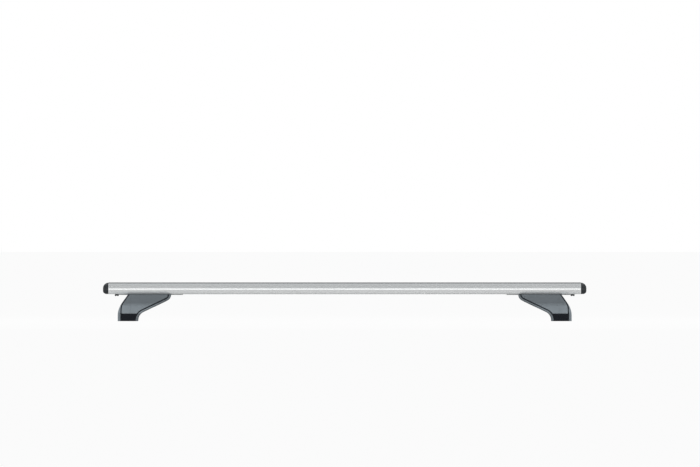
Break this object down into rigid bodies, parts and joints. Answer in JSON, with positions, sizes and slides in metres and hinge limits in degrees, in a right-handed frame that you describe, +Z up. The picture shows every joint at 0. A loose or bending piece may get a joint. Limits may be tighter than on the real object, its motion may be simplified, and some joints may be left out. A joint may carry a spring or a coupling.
{
  "type": "roof rack crossbar",
  "caption": "Wing-section aluminium roof crossbar with a ribbed top strip, black end caps and two flared plastic feet that slide along its lower slot and lock.",
  "frame": {"origin": "on the ground plane under the feet, midway between them and below the middle of the slots", "axes": "+X along the bar, -Y towards the leading edge of the wing section, +Z up"},
  "size_m": [1.28, 0.136, 0.1019],
  "materials": {
    "aluminium_bar": "fine satin anodised, drawn lengthwise",
    "rail_aluminium": "mill finish, drawn lengthwise",
    "strip_rubber": "matte with smooth ribs",
    "cap_plastic": "fine-grained, near black",
    "foot_plastic": "fine-grained mid grey",
    "pad_plastic": "fine-grained black",
    "zinc_steel": "zinc plated",
    "fastener_steel": "zinc plated, slightly worn",
    "lock_metal": "satin nickel"
  },
  "bodies": {
    "bar": {"bar": "aluminium_bar", "top_strip": "strip_rubber", "end_cap_left": "cap_plastic", "end_cap_right": "cap_plastic", "slot_stop_left": "cap_plastic", "slot_stop_right": "cap_plastic"},
    "left_foot": {"slide_rail_left": "rail_aluminium", "rail_screws_left": "fastener_steel", "foot_bracket_left": "zinc_steel", "foot_housing_left": "foot_plastic", "outer_cover_left": "foot_plastic", "cover_pads_left": "pad_plastic", "housing_pads_left": "pad_plastic", "clamp_washer_left": "zinc_steel"},
    "left_clamp_screw": {"clamp_screw_left": "fastener_steel"},
    "left_clamp_block": {"clamp_block_left": "zinc_steel"},
    "left_lock": {"lock_barrel_left": "lock_metal", "lock_cam_left": "zinc_steel", "cam_screw_left": "fastener_steel"},
    "right_foot": {"slide_rail_right": "rail_aluminium", "rail_screws_right": "fastener_steel", "foot_bracket_right": "zinc_steel", "foot_housing_right": "foot_plastic", "outer_cover_right": "foot_plastic", "cover_pads_right": "pad_plastic", "housing_pads_right": "pad_plastic", "clamp_washer_right": "zinc_steel"},
    "right_clamp_screw": {"clamp_screw_right": "fastener_steel"},
    "right_clamp_block": {"clamp_block_right": "zinc_steel"},
    "right_lock": {"lock_barrel_right": "lock_metal", "lock_cam_right": "zinc_steel", "cam_screw_right": "fastener_steel"}
  },
  "joints": [
    {"name": "left_foot_slide", "type": "slide", "parent": "bar", "child": "left_foot", "axis": [1, 0, 0], "range_m": [0, 0.08]},
    {"name": "left_clamp_turn", "type": "hinge", "parent": "left_foot", "child": "left_clamp_screw", "pos_m": [-0.5431, 0, 0.0445], "axis": [-1, 0, 0], "range_deg": [0, 577]},
    {"name": "left_block_slide", "type": "slide", "parent": "left_foot", "child": "left_clamp_block", "axis": [1, 0, 0], "range_m": [0, 0.002]},
    {"name": "left_lock_turn", "type": "hinge", "parent": "left_foot", "child": "left_lock", "pos_m": [-0.5988, 0.05, 0.014], "axis": [-1, 0, 0], "range_deg": [0, 90]},
    {"name": "right_foot_slide", "type": "slide", "parent": "bar", "child": "right_foot", "axis": [-1, 0, 0], "range_m": [0, 0.08]},
    {"name": "right_clamp_turn", "type": "hinge", "parent": "right_foot", "child": "right_clamp_screw", "pos_m": [0.5431, 0, 0.0445], "axis": [1, 0, 0], "range_deg": [0, 577]},
    {"name": "right_block_slide", "type": "slide", "parent": "right_foot", "child": "right_clamp_block", "axis": [-1, 0, 0], "range_m": [0, 0.002]},
    {"name": "right_lock_turn", "type": "hinge", "parent": "right_foot", "child": "right_lock", "pos_m": [0.5988, 0.05, 0.014], "axis": [-1, 0, 0], "range_deg": [0, 90]}
  ],
  "couplings": [
    {"joint": "left_clamp_turn", "follows": "left_block_slide", "rad_per_m": 5026.5},
    {"joint": "right_clamp_turn", "follows": "right_block_slide", "rad_per_m": 5026.5}
  ]
}
